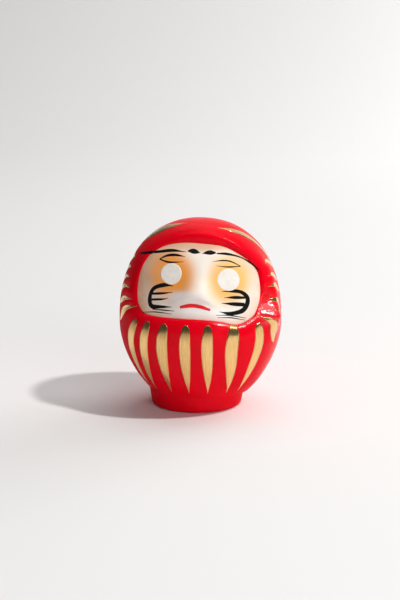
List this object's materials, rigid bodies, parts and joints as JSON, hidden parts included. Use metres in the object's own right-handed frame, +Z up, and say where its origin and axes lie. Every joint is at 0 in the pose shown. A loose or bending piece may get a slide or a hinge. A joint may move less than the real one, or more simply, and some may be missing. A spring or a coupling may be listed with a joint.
{
  "type": "daruma doll",
  "caption": "Hollow papier-mache daruma doll with a sunken painted face, gold brush strokes on a red lacquered body and a weighted clay foot.",
  "frame": {"origin": "middle of the bounding box's base, on the ground under the body", "axes": "+Z up, -Y the way the face looks, +X to the viewer's right"},
  "size_m": [0.1, 0.1002, 0.1158],
  "materials": {
    "red_lacquer": "glossy lacquer over papier-mache",
    "raw_paper": "bare papier-mache",
    "foot_lacquer": "glossy lacquer over unfired clay",
    "face_white": "satin shell white with airbrushed ochre round the eyes",
    "eye_white": "satin white",
    "black_ink": "semi-gloss black",
    "mouth_red": "semi-gloss red",
    "gold_paint": "brushed metallic gold paint"
  },
  "bodies": {
    "root": {"front_shell": "red_lacquer", "back_shell": "red_lacquer", "seam_strip": "raw_paper", "base_weight": "foot_lacquer", "face_coat": "face_white", "eye_spots": "eye_white", "brow_lines": "black_ink", "eyelid_lines": "black_ink", "whisker_lines": "black_ink", "mouth_line": "mouth_red", "gold_belly_strokes": "gold_paint", "gold_side_strokes": "gold_paint", "gold_crown_strokes": "gold_paint"}
  },
  "joints": []
}
